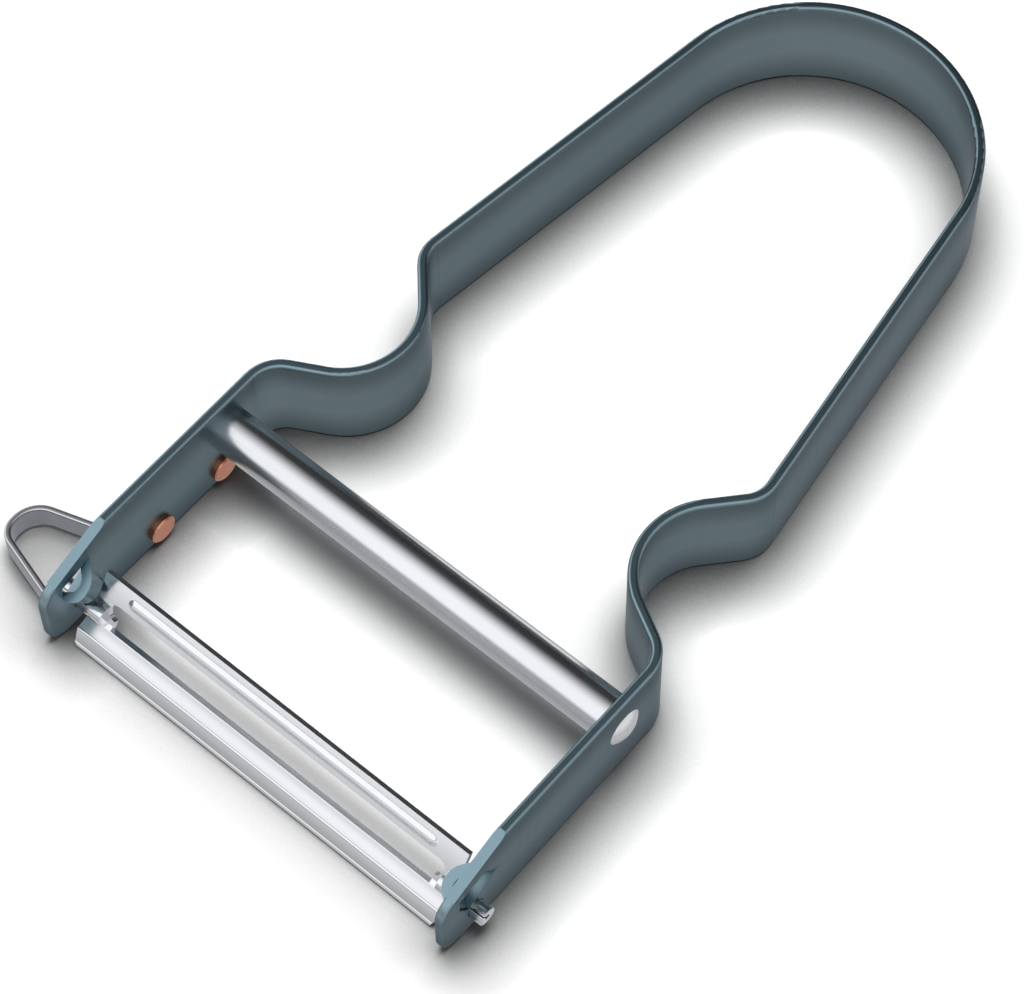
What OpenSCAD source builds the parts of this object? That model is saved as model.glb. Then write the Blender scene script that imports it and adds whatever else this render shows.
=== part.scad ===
/* [Frame strip] */
// Width of the bent strip, which is the height of the peeler as it lies
strip_w = 12.6; // [10:0.1:15]
// Thickness of the strip
strip_t = 1.15; // [0.9:0.05:1.5]
// Rounding along the long edges of the strip
strip_edge_r = 0.38; // [0.2:0.02:0.44]
// Radius of the bow at the middle of the strip
bow_r = 17.66; // [15:0.1:21]
// Length of each straight side, up to the corner it would make with the shoulder
side_len = 39.64; // [34:0.1:46]
// Lean of each side away from the middle line, in degrees
side_lean = 7.56; // [4:0.1:9]
// Half width of the frame at the finger notch, up to the corner it would make
notch_half_w = 11.5; // [10:0.1:13]
// Distance of the finger notch corner from the bow centre
notch_dist = 49.31; // [47:0.1:52]
// Half width between the arms at the middle of the strip
arm_half_w = 26.35; // [25.4:0.05:28]
// Distance of the hip corner from the bow centre
hip_dist = 57.36; // [56:0.1:59]
// Bend radius at the shoulder
shoulder_r = 3.61; // [2.5:0.1:4.5]
// Bend radius of the finger notch
notch_r = 8.28; // [7:0.1:8.8]
// Bend radius at the hip
hip_r = 4.03; // [3:0.1:5]

/* [Arms] */
// Distance of the arm tips from the bow centre
tip_dist = 91.5; // [89:0.1:96]
// Length of the sloping cut on top of each tip
tip_slope_len = 9.8; // [8:0.1:11]
// Metal left between the sloping cut and the stop's window
tip_cover = 1.59; // [1.3:0.05:2]
// Radius of the nose of the tip
tip_nose_r = 2.9; // [2.2:0.1:3.2]
// Radius of the lower corner of the tip
tip_corner_r = 2.3; // [1.5:0.1:2.8]

/* [Blade stops] */
// Distance from the pin axis back to the root of the pressed stop
stop_behind_pin = 2.75; // [2.5:0.05:3.1]
// Height of the stop's root above the pin axis
stop_above_pin = 5.2; // [5:0.05:5.4]
// Slope of the stop towards the tip, in degrees
stop_slope = 32; // [30:0.5:34]
// Length of the window that the stop is pressed out of
stop_len = 5.3; // [5.1:0.05:5.5]
// Width of the pressed stop
stop_w = 2.55; // [2.3:0.05:2.7]
// How far the stop stands inside the arm
stop_depth = 1.95; // [1.75:0.05:2.1]
// Length of the rise at the root of the stop
stop_rise = 2.4; // [2.2:0.05:2.6]
// Length of the fall at the front of the stop
stop_fall = 1.1; // [1:0.05:1.3]
// Widening of the window above the front of the stop
stop_relief = 1.3; // [1:0.05:1.5]

/* [Crossbar] */
// Outer diameter of the crossbar tube
bar_d = 5.1; // [4.4:0.1:6]
// Wall of the crossbar tube
bar_wall = 0.7; // [0.5:0.05:0.9]
// Distance from the tip to the crossbar axis
bar_from_tip = 27.6; // [26.5:0.1:28.5]
// Height of the crossbar axis above the lower edge
bar_height = 7.55; // [7.1:0.05:8.2]
// Room all round the tie rivet inside the tube
tie_gap = 0.55; // [0.3:0.05:0.7]
// Diameter of the domed heads of the tie rivet
tie_head_d = 4.3; // [3.6:0.1:4.8]
// Height of the domed heads
tie_head_h = 0.75; // [0.5:0.05:1]

/* [Blade] */
// Thickness of the blade steel
blade_t = 0.6; // [0.4:0.05:0.7]
// Gap between the ends of the rear wing and the arms
rear_gap = 1.68; // [1.5:0.02:1.9]
// Gap between the ends of the front wing and the arms
front_gap = 1.28; // [1.1:0.02:1.5]
// Width of the rear wing, from its upper edge to the crease
rear_w = 5.75; // [5.4:0.05:5.9]
// Slope of the rear wing at rest, in degrees
rear_slope = 62; // [58:0.5:64]
// Width of the trough of the front wing
trough_w = 2.34; // [2.2:0.02:2.5]
// Fall of the trough towards the front at rest, in degrees
trough_fall = 20; // [17:0.5:23]
// Depth of the trough below its two edges
trough_sag = 0.1; // [0.06:0.02:0.16]
// Width of the guard facet in front of the trough
guard_w = 1.75; // [1.5:0.05:1.9]
// Slope of the guard facet at rest, in degrees
guard_slope = 40; // [36:1:44]
// Width of the peeling slot behind the crease
slot_w = 2.82; // [2.5:0.02:3]
// Metal left between the slot and the ends of the rear wing
slot_web = 1.6; // [1.4:0.05:2]
// Radius of the round ends of the slot
slot_end_r = 1.05; // [0.95:0.05:1.2]
// Distance from the ends of the stiffening rib to the ends of the rear wing
rib_margin = 3.45; // [3:0.05:4]
// Width of the stiffening rib with its two fillets
rib_w = 1.7; // [1.4:0.05:2]
// Height of the stiffening rib
rib_h = 0.3; // [0.2:0.01:0.4]
// Length of the corner cut off each end of the guard facet
guard_corner = 0.65; // [0.4:0.05:0.9]
// Width of the bevel ground along the front edge of the guard facet
guard_edge = 0.4; // [0.2:0.05:0.45]

/* [Blade pins] */
// Diameter of the rolled pins
pin_d = 2.14; // [1.8:0.02:2.3]
// Bore left inside the rolled pins
pin_bore_d = 0.6; // [0.4:0.05:1]
// Width of the seam of the rolled pins
pin_seam = 0.16; // [0.1:0.01:0.25]
// How far the pins stand out of the arms
pin_out = 1.5; // [1:0.1:2]
// Distance from the tip to the pin axis
pin_from_tip = 4.9; // [4.7:0.05:5.2]
// Height of the pin axis above the lower edge
pin_height = 3.2; // [3:0.05:3.4]
// Gap all round the pin in its hole
pin_gap = 0.07; // [0.03:0.01:0.1]

/* [Eye remover] */
// Height of the eye remover strip
eye_w = 3.2; // [2.8:0.05:3.6]
// Thickness of the eye remover strip
eye_t = 0.7; // [0.5:0.05:0.8]
// Height of the middle of the strip above the lower edge
eye_height = 2.2; // [2:0.05:2.4]
// How far the loop stands out from the arm
eye_reach = 10.4; // [9:0.1:12]
// Length of the flange on the arm, up to the bend
eye_flange_l = 15.6; // [15:0.1:16.2]
// Distance from the tip to the bend of the flange
eye_bend_from_tip = 12.7; // [12.2:0.1:13]
// Sweep of the rear leg towards the tip, over the reach of the loop
eye_rear_sweep = 3.24; // [2.5:0.1:4]
// Width of the loop at its outer end
eye_end_w = 4.3; // [4.1:0.1:4.6]
// Distance from the tip to the free end of the loop
eye_foot_from_tip = 2.3; // [1.8:0.1:2.8]
// Bend radius at the outer end of the loop
eye_end_r = 2.15; // [1.6:0.05:2.3]
// Bend radius at the flange
eye_bend_r = 1.5; // [1:0.1:2]

/* [Copper rivets] */
// Distance from the tip to the front copper rivet
rivet_from_tip = 16.4; // [16:0.1:16.8]
// Distance between the two copper rivets
rivet_pitch = 9.5; // [9:0.1:10]
// Shank diameter of the copper rivets
rivet_d = 1.8; // [1.4:0.1:2]
// Head diameter on the inner side of the arm
rivet_head_d = 3.3; // [2.8:0.1:3.5]
// Head height of the copper rivets
rivet_head_h = 0.62; // [0.4:0.02:0.8]
// Height of the chamfer round the heads
rivet_chamfer = 0.16; // [0.08:0.01:0.2]

/* [Hidden] */
$fn = 64;

// One overrun serves every cut
over = 1;
// Length by which the bends of a strip run into its straight stretches
lap = 0.05;
// Depth by which the bends lie inside the faces of the straight stretches
ease = 0.01;
// Air between the eye remover's free end and the arm
eye_foot_gap = 0.15;
// Place along the window where its relief is highest
stop_relief_share = 0.8;
// Run of the stop's first bend behind the root, as a share of the strip's thickness
stop_root_share = 0.32;
// Lap of the stop's front over the window's end, as a share of the strip's thickness
stop_front_share = 0.25;
// Bend radii of the pressed stop, from its root to its front
stop_radii = [0, 0.8, 2.2, 1.3, 0];

arm_in = arm_half_w - strip_t / 2;
arm_out = arm_half_w + strip_t / 2;
bar_y = bar_from_tip - tip_dist;
bar_bore_r = bar_d / 2 - bar_wall;
tie_r = bar_bore_r - tie_gap;
pin_y = pin_from_tip - tip_dist;
pin_r = pin_d / 2;
rear_half_l = arm_in - rear_gap;
front_half_l = arm_in - front_gap;
slot_half_l = rear_half_l - slot_web;
rib_half_l = rear_half_l - rib_margin;

// Corners of the strip's middle line, right half, from the arm's end to the shoulder
side_top = bow_r * [cos(side_lean), sin(side_lean)];
shoulder = side_top + side_len * [sin(side_lean), -cos(side_lean)];
right_path = [
    [arm_half_w, -tip_dist - over],
    [arm_half_w, -hip_dist],
    [notch_half_w, -notch_dist],
    shoulder
];
right_radii = [0, hip_r, notch_r, shoulder_r];
// The whole line turns over the corner where the two sides would meet
strip_path = concat(
    right_path,
    [[0, bow_r / sin(side_lean)]],
    [for (i = [3:-1:0]) [-right_path[i][0], right_path[i][1]]]
);
strip_radii = concat(right_radii, [bow_r], [for (i = [3:-1:0]) right_radii[i]]);

// Unit vector from a to b
function unit(a, b) = (b - a) / norm(b - a);
// Direction from a to b, in degrees
function heading(a, b) = atan2(b[1] - a[1], b[0] - a[0]);
// A vector turned by some degrees
function turned(v, by) = [v[0] * cos(by) - v[1] * sin(by), v[0] * sin(by) + v[1] * cos(by)];
// Signed turn of a path at b, in degrees, left turns being positive
function turn(a, b, c) =
    let (d = heading(b, c) - heading(a, b))
    d > 180 ? d - 360 : d < -180 ? d + 360 : d;
// Length that a bend of radius r takes from each leg at b
function leg(a, b, c, r) = r * tan(abs(turn(a, b, c)) / 2);
function leg_at(p, r, i) = r[i] == 0 ? 0 : leg(p[i - 1], p[i], p[i + 1], r[i]);

// Section of a strip, thickness along x and height along y
module section(t, h, r) {
    square([t - 2 * r, h], center = true);
    square([t, h - 2 * r], center = true);
    for (x = [-1, 1])
        for (y = [-1, 1])
            translate([x * (t / 2 - r), y * (h / 2 - r)])
                circle(r);
}

// Straight stretch of a section from a to b
module straight(a, b) {
    translate([a[0], a[1], 0])
        rotate([0, 0, heading(a, b)])
            rotate([90, 0, 90])
                linear_extrude(norm(b - a))
                    children();
}

// Bend of a section round the corner b, in the middle of a path
module bend(a, b, c, r) {
    w = turn(a, b, c);
    side = w > 0 ? 1 : -1;
    start = b - unit(a, b) * leg(a, b, c, r);
    centre = start + side * r * [-unit(a, b)[1], unit(a, b)[0]];
    from = w > 0 ? heading(centre, start) : heading(centre, start) + w;
    lap_turn = lap / r * 180 / PI;
    translate([centre[0], centre[1], 0])
        rotate([0, 0, from - lap_turn])
            rotate_extrude(angle = abs(w) + 2 * lap_turn)
                translate([r, 0])
                    children();
}

// Two sections carried along a path: the first by its straights, the second by its bends
module swept(p, r) {
    for (i = [0:len(p) - 2]) {
        u = unit(p[i], p[i + 1]);
        straight(p[i] + u * leg_at(p, r, i), p[i + 1] - u * leg_at(p, r, i + 1))
            children(0);
    }
    for (i = [1:len(p) - 2])
        bend(p[i - 1], p[i], p[i + 1], r[i])
            children(1);
}

// The whole bent strip before its tips are cut
module bent_strip() {
    translate([0, 0, strip_w / 2])
        swept(strip_path, strip_radii) {
            section(strip_t, strip_w, strip_edge_r);
            section(strip_t - 2 * ease, strip_w - 2 * ease, strip_edge_r - ease);
        }
}

// Draws a shape given in (y, z) and extrudes it across x, from x0 to x1
module across(x0, x1) {
    translate([x0, 0, 0])
        rotate([90, 0, 90])
            linear_extrude(x1 - x0)
                children();
}

// Root of the stop, and the highest point of its window, in (y, z)
stop_root = [pin_y + stop_behind_pin, pin_height + stop_above_pin];
window_peak = stop_root + turned(
    [-stop_len * stop_relief_share, stop_w / 2 + stop_relief],
    stop_slope
);

// The sloping cut starts at the crest and passes over the window
crest = [tip_slope_len - tip_dist, strip_w];
tip_slope = heading(window_peak + [0, tip_cover], crest);
slope = [-cos(tip_slope), -sin(tip_slope)];
up = [-sin(tip_slope), cos(tip_slope)];
corner = [tip_corner_r - tip_dist, tip_corner_r];
nose_y = tip_nose_r - tip_dist;
nose = [nose_y, strip_w - (tip_nose_r + (nose_y - crest[0]) * up[0]) / up[1]];

// Side view that the tips keep, given in (y, z), drawn in by inset round the nose
module tip_profile(inset) {
    polygon([
        [bow_r + strip_t + over, -over],
        [corner[0], -over],
        [corner[0], inset],
        [inset - tip_dist, corner[1]],
        [inset - tip_dist, nose[1]],
        nose + (tip_nose_r - inset) * up,
        nose + tip_nose_r * up,
        crest - slope * over / sin(tip_slope),
        [bow_r + strip_t + over, strip_w + over]
    ]);
    translate(corner)
        circle(tip_corner_r - inset);
    translate(nose)
        circle(tip_nose_r - inset);
}

// Middle line of the rounded rim of the nose, in (y, z), from the cut to the lower edge
rim_radii = [0, tip_nose_r - strip_t / 2, tip_corner_r - strip_t / 2];
rim_foot = [strip_t / 2 - tip_dist, strip_t / 2];
rim_top = nose + rim_radii[1] * (up + slope * (1 - sin(tip_slope)) / cos(tip_slope));
rim_path = [rim_top - slope, rim_top, rim_foot, rim_foot + [tip_corner_r, 0]];

// Rim of the right nose, rounded like the strip's edges
module nose_rim() {
    translate([arm_half_w, 0, 0])
        rotate([90, 0, 90]) {
            straight(
                rim_top - [0, leg_at(rim_path, rim_radii, 1)],
                rim_foot + [0, leg_at(rim_path, rim_radii, 2)]
            )
                section(strip_t, strip_t - 2 * ease, strip_edge_r - ease);
            for (i = [1, 2])
                bend(rim_path[i - 1], rim_path[i], rim_path[i + 1], rim_radii[i])
                    section(strip_t - 2 * ease, strip_t - 4 * ease, strip_edge_r - 2 * ease);
        }
}

// Puts a shape on the slope of the right stop: y from tip to root, z across the band
module at_stop() {
    translate([0, stop_root[0], stop_root[1]])
        rotate([stop_slope, 0, 0])
            children();
}

// Middle line of the stop in plan, from the root to the front
stop_foot = stop_len + strip_t * stop_front_share;
stop_path = [
    [arm_half_w, strip_t],
    [arm_half_w, -strip_t * stop_root_share],
    [arm_half_w - stop_depth, -stop_rise],
    [arm_half_w - stop_depth, -stop_len + stop_fall],
    [arm_half_w, -stop_foot]
];

// Side view of the stop's window; its relief rises from the root to the front
module window_profile() {
    translate([-stop_len, -stop_w / 2])
        square([stop_len, stop_w]);
    polygon([
        [-strip_t / 2, 0],
        [-strip_t / 2, stop_w / 2],
        [-stop_len * stop_relief_share, stop_w / 2 + stop_relief],
        [-stop_len, stop_w / 2 - strip_t * stop_front_share],
        [-stop_len, 0]
    ]);
}

module stop_window() {
    at_stop()
        across(arm_in - over, arm_out + over)
            window_profile();
}

module stop_band() {
    at_stop()
        intersection() {
            swept(stop_path, stop_radii) {
                square([strip_t - 2 * ease, stop_w - 2 * ease], center = true);
                square([strip_t - 4 * ease, stop_w - 4 * ease], center = true);
            }
            translate([0, -stop_len - lap, -stop_w])
                cube([arm_out + over, stop_len + 2 * lap, 2 * stop_w]);
        }
}

// A round bar along x, centred at (y, z)
module along_x(x0, x1, y, z, r) {
    translate([x0, y, z])
        rotate([0, 90, 0])
            cylinder(r = r, h = x1 - x0);
}

module both_sides() {
    children();
    mirror([1, 0, 0])
        children();
}

module frame_strip() {
    color("#5d6b72") {
        difference() {
            union() {
                intersection() {
                    bent_strip();
                    across(-arm_out - over, arm_out + over)
                        tip_profile(strip_edge_r);
                }
                both_sides()
                    nose_rim();
            }
            both_sides() {
                stop_window();
                along_x(arm_in - over, arm_out + over, pin_y, pin_height, pin_r + pin_gap);
                along_x(arm_in - over, arm_out + over, bar_y, bar_height, tie_r);
            }
            for (y = rivet_places)
                along_x(-arm_out - over, -arm_in + over, y, eye_height, rivet_d / 2);
        }
        both_sides()
            stop_band();
    }
}

module crossbar_tube() {
    color("#d5d8dc")
        difference() {
            along_x(-arm_in, arm_in, bar_y, bar_height, bar_d / 2);
            along_x(-arm_in - over, arm_in + over, bar_y, bar_height, bar_bore_r);
        }
}

// Dome of height h on a disc of radius r, standing on x = 0 and facing +x
module dome(r, h) {
    ball_r = (r * r + h * h) / (2 * h);
    rotate([0, 90, 0])
        rotate_extrude()
            intersection() {
                translate([0, h - ball_r])
                    circle(ball_r, $fn = 160);
                square([r, h]);
            }
}

module tie_rivet() {
    color("#c3c7cc") {
        along_x(-arm_out, arm_out, bar_y, bar_height, tie_r);
        both_sides()
            translate([arm_out, bar_y, bar_height])
                dome(tie_head_d / 2, tie_head_h);
    }
}

// Blade section in (y, z) about the pin axis, given by the middle of the sheet
crease_shares = [0.05, -0.85];
crease = crease_shares * pin_r;
rear_dir = [cos(rear_slope), sin(rear_slope)];
trough_dir = [-cos(trough_fall), -sin(trough_fall)];
guard_dir = [-cos(guard_slope), -sin(guard_slope)];
rear_top = crease + rear_w * rear_dir;
front_crease = crease + trough_w * trough_dir;
guard_end = front_crease + guard_w * guard_dir;

// Round joint of two sheets, a little proud so that their faces cross it cleanly
joint_r = blade_t / 2 + ease;

// A flat strip of sheet from a to b, with a round joint at a
module sheet(a, b) {
    translate(a) {
        rotate(heading(a, b))
            translate([0, -blade_t / 2])
                square([norm(b - a), blade_t]);
        circle(joint_r);
    }
}

// The trough, an arc of sheet between the two creases
module trough() {
    half = trough_w / 2;
    arc_r = (half * half + trough_sag * trough_sag) / (2 * trough_sag);
    middle = (crease + front_crease) / 2;
    above = [-sin(trough_fall), cos(trough_fall)];
    centre = middle + (arc_r - trough_sag) * above;
    reach = 2 * arc_r;
    intersection() {
        translate(centre)
            difference() {
                circle(arc_r + blade_t / 2, $fn = 120);
                circle(arc_r - blade_t / 2, $fn = 120);
            }
        polygon([
            centre,
            centre + reach * unit(centre, crease),
            centre - reach * above,
            centre + reach * unit(centre, front_crease)
        ]);
    }
    translate(front_crease)
        circle(joint_r);
}

// Places a shape drawn on the rear wing: x along the blade, y up the wing, z out of its face
module on_rear_wing() {
    translate([0, crease[0], crease[1]])
        rotate([rear_slope, 0, 0])
            children();
}

// Depth of the slot's front side behind the crease, past the sheet's round joint there
slot_front_share = 0.6;
slot_front = blade_t * slot_front_share;

module slot_cut() {
    reach = slot_half_l - slot_end_r;
    on_rear_wing()
        translate([0, 0, -blade_t / 2 - over])
            linear_extrude(blade_t + 2 * over) {
                translate([-reach, -slot_front])
                    square([2 * reach, slot_w + slot_front]);
                for (x = [-reach, reach])
                    translate([x, slot_w - slot_end_r])
                        circle(slot_end_r);
            }
}

// Rib in section: a crest between two fillets of the same radius, standing on z = 0
bead_r = (rib_w * rib_w / 4 + rib_h * rib_h) / (4 * rib_h);
rib_y = (rear_w + slot_w) / 2;

module bead_profile(base) {
    difference() {
        translate([-rib_w / 2, -base])
            square([rib_w, base + rib_h / 2]);
        for (y = [-rib_w / 2, rib_w / 2])
            translate([y, bead_r + ease])
                circle(bead_r);
    }
    intersection() {
        translate([0, rib_h - bead_r])
            circle(bead_r);
        translate([-rib_w / 2, rib_h / 2])
            square([rib_w, rib_h]);
    }
}

// The rib's whole shape on the rear wing, with its round ends eased into the straight
module bead(face, base) {
    reach = rib_half_l - rib_w / 2;
    on_rear_wing()
        translate([0, rib_y, face]) {
            rotate([90, 0, 90])
                linear_extrude(2 * reach, center = true)
                    bead_profile(base);
            for (x = [-reach, reach])
                translate([x, 0, -ease])
                    rotate_extrude()
                        intersection() {
                            bead_profile(base - 2 * ease);
                            translate([0, -base])
                                square([rib_w, 2 * base + rib_h]);
                        }
        }
}

// Corner cut off the right end of the guard facet
module guard_corner_cut() {
    a = front_crease;
    b = guard_end + blade_t * guard_dir;
    translate([front_half_l, a[0], a[1]])
        rotate([180 + guard_slope, 0, 0])
            translate([0, 0, -blade_t - over])
                linear_extrude(2 * blade_t + 2 * over)
                    polygon([
                        [over, 0],
                        [0, 0],
                        [-guard_corner * norm(b - a) / guard_w, norm(b - a)],
                        [over, norm(b - a)]
                    ]);
}

// Ground bevel along the front edge of the guard facet
module guard_bevel() {
    translate(guard_end)
        rotate(heading(front_crease, guard_end))
            polygon([
                [-guard_edge - over, -blade_t / 2 - over],
                [over, guard_edge - blade_t / 2 + over],
                [over, -blade_t / 2 - over]
            ]);
}

// Turn of the pins' seam from the middle of their rear upper side, in degrees
seam_turn = 35;

// Rolled pin of the right end, from the end of the slot outwards, with its seam
module pin() {
    outer_x = arm_out + pin_out;
    difference() {
        along_x(slot_half_l + lap, outer_x, 0, 0, pin_r);
        along_x(front_half_l, outer_x + over, 0, 0, pin_bore_d / 2);
        rotate([seam_turn, 0, 0])
            translate([front_half_l, -pin_seam / 2, 0])
                cube([outer_x, pin_seam, pin_d]);
    }
}

module blade() {
    color("#c9ccd3")
        translate([0, pin_y, pin_height]) {
            difference() {
                union() {
                    across(-rear_half_l, rear_half_l)
                        sheet(crease, rear_top);
                    across(-front_half_l, front_half_l) {
                        trough();
                        difference() {
                            sheet(front_crease, guard_end);
                            guard_bevel();
                        }
                    }
                    bead(blade_t / 2, blade_t / 2);
                }
                slot_cut();
                bead(-blade_t / 2, over);
                both_sides()
                    guard_corner_cut();
            }
            both_sides()
                pin();
        }
}

// Middle line of the eye remover in plan, from the flange to the free end
eye_x = -arm_out - eye_t / 2;
eye_bend_y = eye_bend_from_tip - tip_dist;
eye_path = [
    [eye_x, eye_bend_y + eye_flange_l],
    [eye_x, eye_bend_y],
    [eye_x - eye_reach + eye_t / 2, eye_bend_y - eye_rear_sweep],
    [eye_x - eye_reach + eye_t / 2, eye_bend_y - eye_rear_sweep - eye_end_w],
    [-arm_out - eye_foot_gap, eye_foot_from_tip - tip_dist]
];
eye_radii = [0, eye_bend_r, eye_end_r, eye_end_r, 0];
rivet_places = [for (i = [0:1]) rivet_from_tip + i * rivet_pitch - tip_dist];

module eye_remover() {
    color("#a9adb4")
        difference() {
            translate([0, 0, eye_height])
                swept(eye_path, eye_radii) {
                    square([eye_t, eye_w], center = true);
                    square([eye_t - 2 * ease, eye_w - 2 * ease], center = true);
                }
            for (y = rivet_places)
                along_x(-arm_out - eye_t - over, -arm_out + over, y, eye_height, rivet_d / 2);
        }
}

// Flat head with a chamfered rim, standing on x = 0 and facing +x
module flat_head(r) {
    rotate([0, 90, 0]) {
        cylinder(r = r, h = rivet_head_h - rivet_chamfer);
        translate([0, 0, rivet_head_h - rivet_chamfer])
            cylinder(r1 = r, r2 = r - rivet_chamfer, h = rivet_chamfer);
    }
}

module copper_rivet(y) {
    color("#c98a70") {
        along_x(-arm_out - eye_t, -arm_in, y, eye_height, rivet_d / 2);
        translate([-arm_in, y, eye_height])
            flat_head(rivet_head_d / 2);
        translate([-arm_out - eye_t, y, eye_height])
            mirror([1, 0, 0])
                flat_head(rivet_head_d / 2 - rivet_chamfer);
    }
}

module rivet_front() {
    copper_rivet(rivet_places[0]);
}

module rivet_rear() {
    copper_rivet(rivet_places[1]);
}

frame_strip();
crossbar_tube();
tie_rivet();
blade();
eye_remover();
rivet_front();
rivet_rear();
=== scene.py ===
import math

import bpy
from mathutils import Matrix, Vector


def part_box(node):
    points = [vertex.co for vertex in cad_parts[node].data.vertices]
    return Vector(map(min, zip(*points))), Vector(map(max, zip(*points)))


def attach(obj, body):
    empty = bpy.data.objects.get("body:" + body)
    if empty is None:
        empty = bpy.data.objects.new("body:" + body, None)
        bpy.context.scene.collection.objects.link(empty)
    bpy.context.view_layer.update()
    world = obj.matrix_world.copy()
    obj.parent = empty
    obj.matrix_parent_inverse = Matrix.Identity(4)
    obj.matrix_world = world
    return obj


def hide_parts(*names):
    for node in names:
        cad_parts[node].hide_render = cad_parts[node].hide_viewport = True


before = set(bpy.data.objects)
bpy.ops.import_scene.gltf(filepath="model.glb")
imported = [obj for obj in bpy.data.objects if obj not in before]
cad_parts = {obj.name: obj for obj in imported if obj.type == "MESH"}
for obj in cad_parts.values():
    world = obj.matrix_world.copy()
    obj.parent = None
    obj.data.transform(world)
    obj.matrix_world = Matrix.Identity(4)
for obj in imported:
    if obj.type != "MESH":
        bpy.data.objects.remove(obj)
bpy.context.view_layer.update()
scene = bpy.context.scene
mm = 0.001


def hexColour(code):  # sRGB hex to the linear values that a socket takes
    channels = [int(code[i:i + 2], 16) / 255 for i in (1, 3, 5)]
    linear = [c / 12.92 if c <= 0.04045 else ((c + 0.055) / 1.055) ** 2.4 for c in channels]
    return (*linear, 1)


# A node with its settings, and a link into each socket that is named. Where sockets share a name,
# i and a number stand for one: a Mix of two colours takes them at 6 and 7 and gives output 2
def addNode(tree, kind, settings=None, **links):
    node = tree.nodes.new(kind)
    for name, value in (settings or {}).items():
        if isinstance(name, int) or name in node.inputs:
            node.inputs[name].default_value = value
        else:
            setattr(node, name, value)
    for name, source in links.items():
        socket = int(name[1:]) if name[1:].isdigit() else name.replace("_", " ")
        tree.links.new(source, node.inputs[socket])
    return node


def newMaterial(name):
    material = bpy.data.materials.new(name)
    material.use_nodes = True
    material.node_tree.nodes.clear()
    return material, material.node_tree


def bandRamp(tree, source, bands):  # each band is a place from 0 to 1 and its grey level
    ramp = addNode(tree, "ShaderNodeValToRGB", Fac=source)
    stops = ramp.color_ramp.elements
    while len(stops) < len(bands):
        stops.new(1)
    for stop, (share, level) in zip(stops, bands):
        stop.position = share
        stop.color = (level, level, level, 1)
    return ramp.outputs[0]


# Painted light and shade: a tone that rises and falls across the node's depth or height, and another
# painted on where its metal faces up
def paintShadeAndLight(tree, place, tone, look, node):
    axis = "XYZ".index(look["across"])
    low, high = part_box(node)
    share = addNode(tree, "ShaderNodeMapRange", {
        "From Min": low[axis], "From Max": high[axis],
    }, Value=addNode(tree, "ShaderNodeSeparateXYZ", Vector=place).outputs[axis])
    banded = addNode(tree, "ShaderNodeMix", {
        "data_type": "RGBA", "blend_type": "MULTIPLY", "Factor": 1.0,
    }, i6=tone, i7=bandRamp(tree, share.outputs[0], look["bands"])).outputs[2]
    if "up" not in look:
        return banded
    facing = addNode(tree, "ShaderNodeTexCoord").outputs["Normal"]
    rise = addNode(tree, "ShaderNodeSeparateXYZ", Vector=facing).outputs["Z"]
    turned = addNode(tree, "ShaderNodeMapRange", {
        "From Min": look["upFrom"], "From Max": look["upFull"],
    }, Value=rise).outputs[0]
    top = addNode(tree, "ShaderNodeMix", {
        "data_type": "RGBA", "blend_type": "MULTIPLY", "Factor": 1.0, 6: hexColour(look["up"]),
    }, i7=bandRamp(tree, rise, look["upBands"])).outputs[2]
    return addNode(tree, "ShaderNodeMix", {"data_type": "RGBA"},
                   Factor=turned, i6=banded, i7=top).outputs[2]


noiseReach = (0.3, 0.7)  # most of a noise texture lies between these


# Metal with slow clouds of tone and a fine grain, drawn out along an axis whose stretch is small.
# The grain is several times coarser than the real one, so that it shows
def metal(node, look):
    material, tree = newMaterial(look["material"])
    place = addNode(tree, "ShaderNodeTexCoord").outputs["Object"]
    drawn = addNode(tree, "ShaderNodeMapping", {"Scale": look["stretch"]}, Vector=place).outputs[0]
    grain = addNode(tree, "ShaderNodeTexNoise", {
        "Scale": 1 / (look["grainMm"] * mm), "Detail": 3.0, "Roughness": 0.6,
    }, Vector=drawn).outputs[0]
    cloud = addNode(tree, "ShaderNodeTexNoise", {
        "Scale": 1 / (look["cloudMm"] * mm), "Detail": 2.0,
    }, Vector=place).outputs[0]
    tone = addNode(tree, "ShaderNodeMix", {
        "data_type": "RGBA", 6: hexColour(look["dark"]), 7: hexColour(look["light"]),
    }, Factor=cloud).outputs[2]
    # Painted shade and light across the piece and on its upward faces, for finishes that have bands
    if "bands" in look:
        tone = paintShadeAndLight(tree, place, tone, look, node)
    rough = addNode(tree, "ShaderNodeMapRange", {
        "From Min": noiseReach[0], "From Max": noiseReach[1],
        "To Min": look["rough"][0], "To Max": look["rough"][1],
    }, Value=grain).outputs[0]
    bump = addNode(tree, "ShaderNodeBump", {
        "Strength": look["bump"], "Distance": look["depthMm"] * mm,
    }, Height=grain).outputs[0]
    shader = addNode(tree, "ShaderNodeBsdfPrincipled", {
        "Metallic": 1.0, "Specular Tint": hexColour(look.get("edge", "#ffffff")),
    }, Base_Color=tone, Roughness=rough, Normal=bump)
    addNode(tree, "ShaderNodeOutputMaterial", Surface=shader.outputs[0])
    return material
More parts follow.
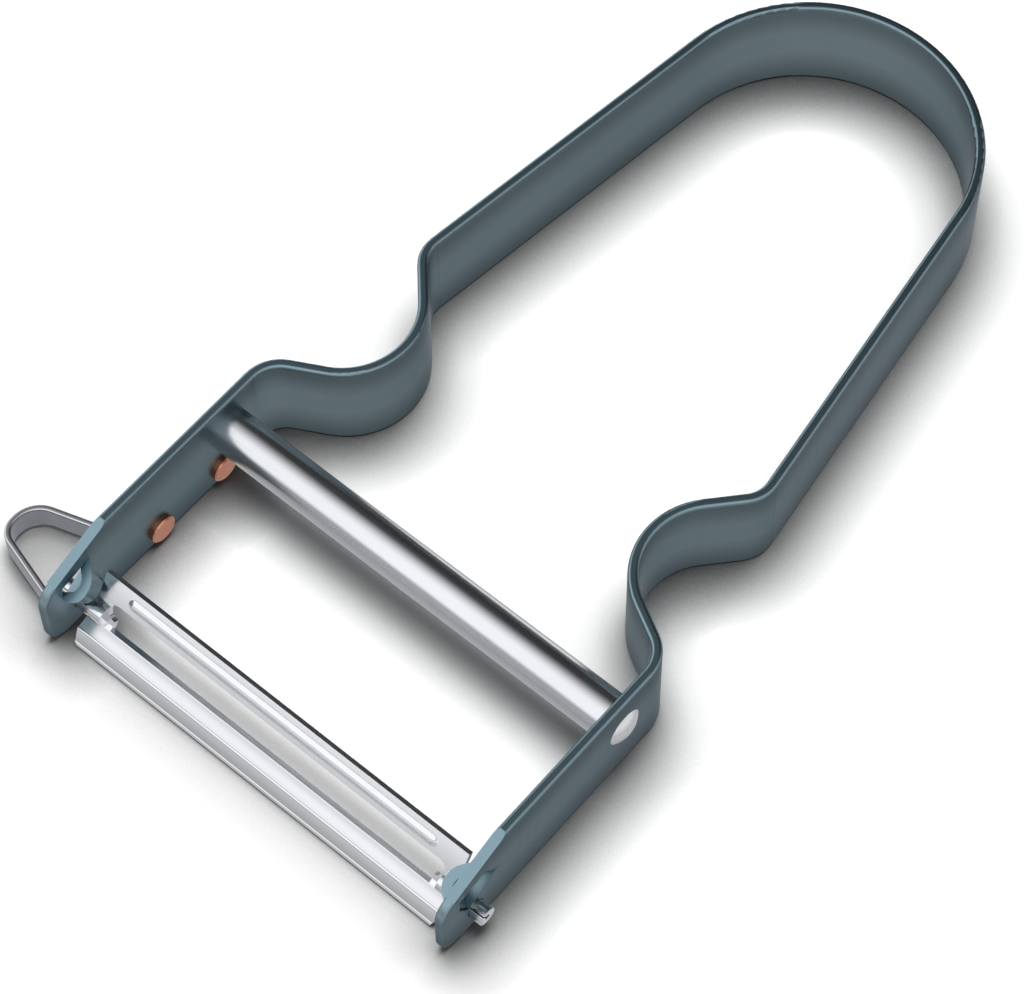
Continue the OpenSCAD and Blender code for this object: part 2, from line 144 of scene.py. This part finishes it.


# Bands run across a node, from the low end of its box at 0 to the high end at 1, and paint light and
# shade into its colour. The up tone is painted onto metal whose normal rises past upFrom, and its bands
# go by that rise
finishes = {
    # Rolled aluminium strip, anodised after bending: a satin blue-grey with soft, slightly cloudy
    # mirror images. It is painted darkest low down and lightest at mid height, a painted reflection of
    # the floor's shadow. Faces that turn up get a lighter tone, partly the lighter cut faces and stops
    # and partly painted light, and on the rounded upper edge this gives a thin light line on each side
    # of a darker middle, which is painted reflection
    "frame_strip": {
        "material": "anodisedAluminium",
        "dark": "#82949b", "light": "#8c9ea5", "rough": (0.30, 0.36),
        "grainMm": 0.25, "stretch": (1, 1, 1), "bump": 0.12, "depthMm": 0.01, "cloudMm": 14,
        "across": "Z",
        "bands": ((0.0, 0.38), (0.12, 0.5), (0.4, 0.85), (0.65, 0.85), (0.88, 0.55), (1.0, 0.5)),
        "up": "#7f98a3", "upFrom": 0.6, "upFull": 0.85, "upBands": ((0.96, 1.0), (0.995, 0.6)),
        "edge": "#bcc1c6",  # tone of walls seen at a grazing angle, which mirror the floor
    },
    # Drawn and polished steel tube, with streaks that run its length. Its white highlight along the
    # top, dark mirror line behind it and grey below are partly the mirrored room and partly painted
    # highlight and shade from its bands
    "crossbar_tube": {
        "material": "polishedSteelTube",
        "dark": "#d2d4d8", "light": "#dcdee2", "rough": (0.2, 0.28),
        "grainMm": 0.3, "stretch": (0.03, 1, 1), "bump": 0.02, "depthMm": 0.01, "cloudMm": 20,
        "across": "Z", "bands": ((0.0, 0.7), (0.55, 0.8), (0.7, 0.7), (0.8, 0.72), (0.87, 1.0)),
    },
    # Cold headed aluminium rivet, tumbled bright: a soft pale dome, painted greyer low down and
    # brightest just above its middle, which is painted shade and highlight
    "tie_rivet": {
        "material": "polishedAluminiumRivet",
        "dark": "#dcdde2", "light": "#e4e5ea", "rough": (0.26, 0.34),
        "grainMm": 0.3, "stretch": (1, 1, 1), "bump": 0.1, "depthMm": 0.01, "cloudMm": 6,
        "across": "Z", "bands": ((0.0, 0.65), (0.4, 0.8), (0.6, 1.0), (1.0, 0.8)),
    },
    # Cold rolled and pressed blade steel: the brightest metal here, nearly a mirror, with streaks along
    # the blade. Its bands paint reflections onto it: from the front a light edge line, a dark guard, a
    # white trough that greys towards the slot, and a white rear wing
    "blade": {
        "material": "rolledBladeSteel",
        "dark": "#dcdee2", "light": "#e6e8eb", "rough": (0.14, 0.22),
        "grainMm": 0.3, "stretch": (0.05, 1, 1), "bump": 0.02, "depthMm": 0.01, "cloudMm": 20,
        "across": "Y",
        "bands": ((0.012, 0.95), (0.03, 0.36), (0.165, 0.54), (0.175, 1.0), (0.28, 1.0), (0.4, 0.7),
                  (0.44, 1.0), (0.53, 0.97)),
    },
    # Cold rolled steel strip with rounded edges: plain grey sides, darker towards the bottom, and a
    # painted highlight on its upward faces, which gives a bright line along the upper edge with a
    # painted darker middle
    "eye_remover": {
        "material": "rolledStripSteel",
        "dark": "#8d9098", "light": "#9a9da5", "rough": (0.26, 0.36),
        "grainMm": 0.3, "stretch": (1, 1, 0.1), "bump": 0.02, "depthMm": 0.01, "cloudMm": 8,
        "across": "Z", "bands": ((0.0, 0.8), (0.8, 1.0), (0.95, 1.0)),
        "up": "#d4d6db", "upFrom": 0.6, "upFull": 0.85, "upBands": ((0.9, 1.0), (0.99, 0.55)),
    },
    # Annealed copper, headed cold: a warm pinkish satin that is a little uneven
    "rivet_front": {
        "material": "annealedCopper",
        "dark": "#c47f63", "light": "#d08f74", "rough": (0.24, 0.34),
        "grainMm": 0.2, "stretch": (1, 1, 1), "bump": 0.06, "depthMm": 0.01, "cloudMm": 3,
    },
}
metals = {node: metal(node, look) for node, look in finishes.items()}
metals["rivet_rear"] = metals["rivet_front"]
for node, material in metals.items():
    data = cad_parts[node].data
    data.materials.clear()
    data.materials.append(material)
print("materials done")

# Eye remover: one strip bent along its path, with all four edges rolled round. A point of the path
# is mm out from the arm, mm forward from the strip's rear end, and the bend radius there in mm.
# Its width and where it starts come from the box of the solid that it stands for
eyeRemover = {
    "path": ((0, 0, 0), (0, 15.6, 1.5), (10.05, 18.84, 3.2), (10.05, 23.14, 2.15), (-0.2, 26, 0)),
    "thickness": 0.7 * mm, "edgeRadius": 0.24 * mm, "bendSteps": 20, "edgeSteps": 5,
}


def bentStripTree(name, material, inputs):
    tree = bpy.data.node_groups.new(name, "GeometryNodeTree")
    tree.interface.new_socket("Geometry", in_out="INPUT", socket_type="NodeSocketGeometry")
    for label, value in inputs.items():
        kind = "NodeSocketInt" if isinstance(value, int) else "NodeSocketFloat"
        tree.interface.new_socket(label, in_out="INPUT", socket_type=kind)
    tree.interface.new_socket("Geometry", in_out="OUTPUT", socket_type="NodeSocketGeometry")
    given = addNode(tree, "NodeGroupInput").outputs
    bend = addNode(tree, "GeometryNodeInputNamedAttribute", {"data_type": "FLOAT", "Name": "bend"})
    line = addNode(tree, "GeometryNodeMeshToCurve", Mesh=given["Geometry"])
    path = addNode(tree, "GeometryNodeFilletCurve", {"mode": "POLY", "Limit Radius": True},
                   Curve=line.outputs[0], Count=given["Bend Steps"], Radius=bend.outputs[0])
    outline = addNode(tree, "GeometryNodeCurvePrimitiveQuadrilateral",
                      Width=given["Thickness"], Height=given["Width"])
    section = addNode(tree, "GeometryNodeFilletCurve", {"mode": "POLY"},
                      Curve=outline.outputs[0], Count=given["Edge Steps"], Radius=given["Edge Radius"])
    strip = addNode(tree, "GeometryNodeCurveToMesh", {"Fill Caps": True},
                    Curve=path.outputs[0], Profile_Curve=section.outputs[0])
    smooth = addNode(tree, "GeometryNodeSetShadeSmooth", Geometry=strip.outputs[0])
    real = addNode(tree, "GeometryNodeRealizeInstances", Geometry=smooth.outputs[0])
    dressed = addNode(tree, "GeometryNodeSetMaterial", {"Material": material}, Geometry=real.outputs[0])
    addNode(tree, "NodeGroupOutput", Geometry=dressed.outputs[0])
    return tree


stripLow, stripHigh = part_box("eye_remover")
armX = stripHigh.x - eyeRemover["thickness"] / 2  # middle of the strip's thickness, on the arm
height = (stripLow.z + stripHigh.z) / 2
guide = bpy.data.meshes.new("eyeRemoverPath")
guide.from_pydata(
    [(armX - out * mm, stripHigh.y - forward * mm, height) for out, forward, _ in eyeRemover["path"]],
    [(i, i + 1) for i in range(len(eyeRemover["path"]) - 1)], [])
bends = guide.attributes.new("bend", "FLOAT", "POINT")
for entry, (_, _, radius) in zip(bends.data, eyeRemover["path"]):
    entry.value = radius * mm
guideObject = bpy.data.objects.new("eyeRemoverPath", guide)
scene.collection.objects.link(guideObject)
modifier = guideObject.modifiers.new("bentStrip", "NODES")
stripInputs = {
    "Width": stripHigh.z - stripLow.z, "Thickness": eyeRemover["thickness"],
    "Edge Radius": eyeRemover["edgeRadius"],
    "Bend Steps": eyeRemover["bendSteps"], "Edge Steps": eyeRemover["edgeSteps"],
}
modifier.node_group = bentStripTree("bentStrip", metals["eye_remover"], stripInputs)
for socket in modifier.node_group.interface.items_tree:
    if socket.in_out == "INPUT" and socket.name in stripInputs:
        modifier[socket.identifier] = stripInputs[socket.name]
depsgraph = bpy.context.evaluated_depsgraph_get()
loopMesh = bpy.data.meshes.new_from_object(guideObject.evaluated_get(depsgraph))
bpy.data.objects.remove(guideObject)
loop = bpy.data.objects.new("eyeRemover", loopMesh)
scene.collection.objects.link(loop)
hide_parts("eye_remover")
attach(loop, "handle")
print("eye remover done:", len(loopMesh.polygons), "faces")

# Camera, fitted to the strip's outline in the photo
view = {
    "place": (0.125085, -0.192614, 0.347610), "turn": (28.8872, 0.4491, 40.3194),
    "lens": 133.97, "sensor": 36, "clipStart": 0.01,
}
cameraData = bpy.data.cameras.new("camera")
cameraData.sensor_width = view["sensor"]
cameraData.lens = view["lens"]
cameraData.clip_start = view["clipStart"]
camera = bpy.data.objects.new("camera", cameraData)
camera.location = view["place"]
camera.rotation_euler = [math.radians(a) for a in view["turn"]]
scene.collection.objects.link(camera)
scene.camera = camera
print("camera done")

# Floor, a hair below the plane that the peeler lies on
floorLook = {
    "size": 3.0, "drop": 0.02 * mm, "colour": "#f2f2f2",
    # Contact shade: how far it reaches, how steeply it falls off, and where it looks for what
    # stands over the floor, so that it lies below a piece in the picture
    "shadeMm": 8, "shadePower": 1.55, "shadeSamples": 8,
    "towards": Vector((-0.52, 0.63, 0.58)).normalized(),
    # Even level that metal mirrors of floor nearer than the first distance, gone by the second
    "mirrored": 0.62, "mirroredMm": (15, 30),
}
half, drop = floorLook["size"] / 2, floorLook["drop"]
corners = [(-half, -half, -drop), (half, -half, -drop), (half, half, -drop), (-half, half, -drop)]
floorMesh = bpy.data.meshes.new("floor")
floorMesh.from_pydata(corners, [], [(0, 1, 2, 3)])
floor = bpy.data.objects.new("floor", floorMesh)
scene.collection.objects.link(floor)
# Matt white paper: soft shadows and no gloss
paperFloor, tree = newMaterial("paperFloor")
towards = addNode(tree, "ShaderNodeCombineXYZ", dict(zip("XYZ", floorLook["towards"])))
contact = addNode(tree, "ShaderNodeAmbientOcclusion", {
    "samples": floorLook["shadeSamples"], "Distance": floorLook["shadeMm"] * mm,
}, Normal=towards.outputs[0])
shade = addNode(tree, "ShaderNodeMath", {"operation": "POWER", 1: floorLook["shadePower"]},
                i0=contact.outputs["AO"])
paper = addNode(tree, "ShaderNodeMix", {
    "data_type": "RGBA", 6: hexColour("#000000"), 7: hexColour(floorLook["colour"]),
}, Factor=shade.outputs[0])
sheet = addNode(tree, "ShaderNodeBsdfDiffuse", Color=paper.outputs[2])
glow = addNode(tree, "ShaderNodeEmission", {"Strength": floorLook["mirrored"]})
ray = addNode(tree, "ShaderNodeLightPath")
close = addNode(tree, "ShaderNodeMapRange", {
    "From Min": floorLook["mirroredMm"][0] * mm, "From Max": floorLook["mirroredMm"][1] * mm,
    "To Min": 1.0, "To Max": 0.0,
}, Value=ray.outputs["Ray Length"])
mirror = addNode(tree, "ShaderNodeMath", {"operation": "MULTIPLY"},
                 i0=ray.outputs["Is Glossy Ray"], i1=close.outputs[0])
mixed = addNode(tree, "ShaderNodeMixShader", Fac=mirror.outputs[0],
                i1=sheet.outputs[0], i2=glow.outputs[0])
addNode(tree, "ShaderNodeOutputMaterial", Surface=mixed.outputs[0])
floorMesh.materials.append(paperFloor)
print("floor done")

# Light: one soft box overhead, leaning to the bow and to the arm with the eye remover
keyBox = {"lean": 7, "heading": 135, "distance": 1.2, "size": 0.66, "power": 17.5}
lean, heading = math.radians(keyBox["lean"]), math.radians(keyBox["heading"])
lamp = bpy.data.lights.new("keyBox", "AREA")
lamp.shape = "SQUARE"
lamp.size = keyBox["size"]
lamp.energy = keyBox["power"]
lampObject = bpy.data.objects.new("keyBox", lamp)
lampObject.location = keyBox["distance"] * Vector(
    (math.sin(lean) * math.cos(heading), math.sin(lean) * math.sin(heading), math.cos(lean)))
lampObject.rotation_euler = (-lampObject.location).to_track_quat("-Z", "Y").to_euler()
lampObject.visible_glossy = False
scene.collection.objects.link(lampObject)

# Room that metal mirrors. A band is an angle round X, 0 overhead and negative towards the blade,
# and its level. A side panel starts and is full at two shares of the way to the right or left
room = {
    "camera": "#ffffff", "ambient": 0.2, "gain": 1.3,
    "bands": ((-180, 0.4), (-95, 0.44), (-80, 0.46), (-72, 1.0), (-20, 1.0), (0, 0.7), (20, 0.28),
              (36, 0.03), (72, 0.03), (100, 0.18), (180, 0.3)),
    "right": (0.4, 0.65), "left": (-0.55, -0.8), "side": 0.85,
}
world = bpy.data.worlds.new("room")
scene.world = world
world.use_nodes = True
tree = world.node_tree
tree.nodes.clear()
outward = addNode(tree, "ShaderNodeTexCoord").outputs["Generated"]
direction = addNode(tree, "ShaderNodeSeparateXYZ", Vector=outward).outputs
angle = addNode(tree, "ShaderNodeMath", {"operation": "ARCTAN2"}, i0=direction["Y"], i1=direction["Z"])
turn = addNode(tree, "ShaderNodeMapRange", {"From Min": -math.pi, "From Max": math.pi},
               Value=angle.outputs[0])
roomBands = [((degrees + 180) / 360, grey) for degrees, grey in room["bands"]]
level = bandRamp(tree, turn.outputs[0], roomBands)
for start, full in (room["right"], room["left"]):
    panel = addNode(tree, "ShaderNodeMapRange", {
        "interpolation_type": "SMOOTHSTEP", "From Min": start, "From Max": full, "To Max": room["side"],
    }, Value=direction["X"]).outputs[0]
    level = addNode(tree, "ShaderNodeMath", {"operation": "MAXIMUM"}, i0=level, i1=panel).outputs[0]
ray = addNode(tree, "ShaderNodeLightPath").outputs
ambient = addNode(tree, "ShaderNodeBackground", {
    "Color": hexColour(room["camera"]), "Strength": room["ambient"]})
mirrored = addNode(tree, "ShaderNodeBackground", {"Strength": room["gain"]}, Color=level)
seen = addNode(tree, "ShaderNodeBackground", {"Color": hexColour(room["camera"]), "Strength": 1.0})
lit = addNode(tree, "ShaderNodeMixShader", Fac=ray["Is Glossy Ray"],
              i1=ambient.outputs[0], i2=mirrored.outputs[0])
shown = addNode(tree, "ShaderNodeMixShader", Fac=ray["Is Camera Ray"],
                i1=lit.outputs[0], i2=seen.outputs[0])
addNode(tree, "ShaderNodeOutputWorld", Surface=shown.outputs[0])
scene.view_settings.view_transform = "Standard"
print("light and room done")
